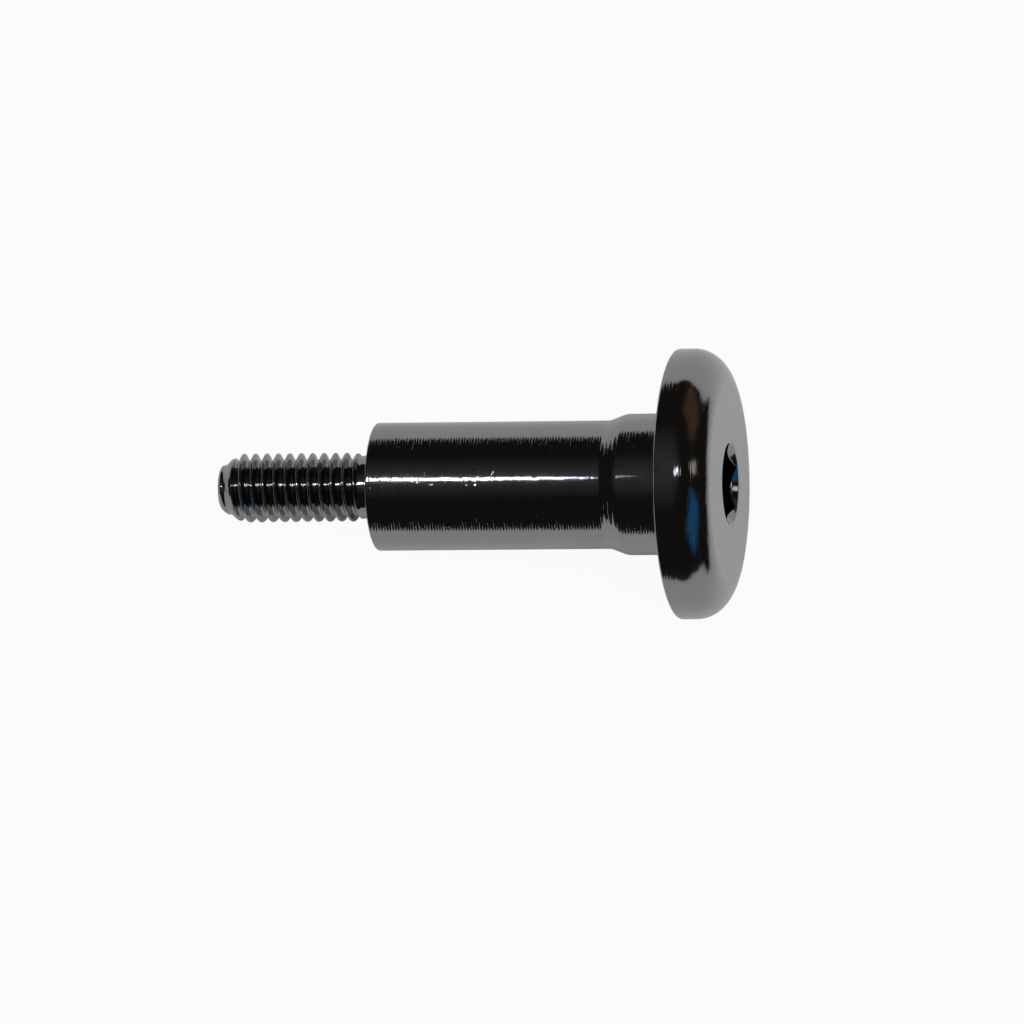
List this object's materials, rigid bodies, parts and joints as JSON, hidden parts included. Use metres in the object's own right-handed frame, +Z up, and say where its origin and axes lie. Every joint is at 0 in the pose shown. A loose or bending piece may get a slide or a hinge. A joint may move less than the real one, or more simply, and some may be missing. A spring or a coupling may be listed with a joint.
{
  "type": "shoulder bolt",
  "caption": "Plated shoulder bolt: a broad rounded head with a hexagon socket, a collar and a plain cylindrical shoulder, ending in a short metric thread.",
  "frame": {"origin": "centre of the shoulder's end face, on the bolt's own axis; the bolt lies on a flat surface below", "axes": "+Z up, +X the way from the thread to the head seen from above, so the axis of the bolt rises towards +X by 12.5 degrees in the XZ plane"},
  "size_m": [0.0455, 0.023, 0.0228],
  "materials": {
    "plated_steel": "bright chrome plating over turned steel"
  },
  "bodies": {
    "root": {"shoulder_bolt": "plated_steel"}
  },
  "joints": []
}
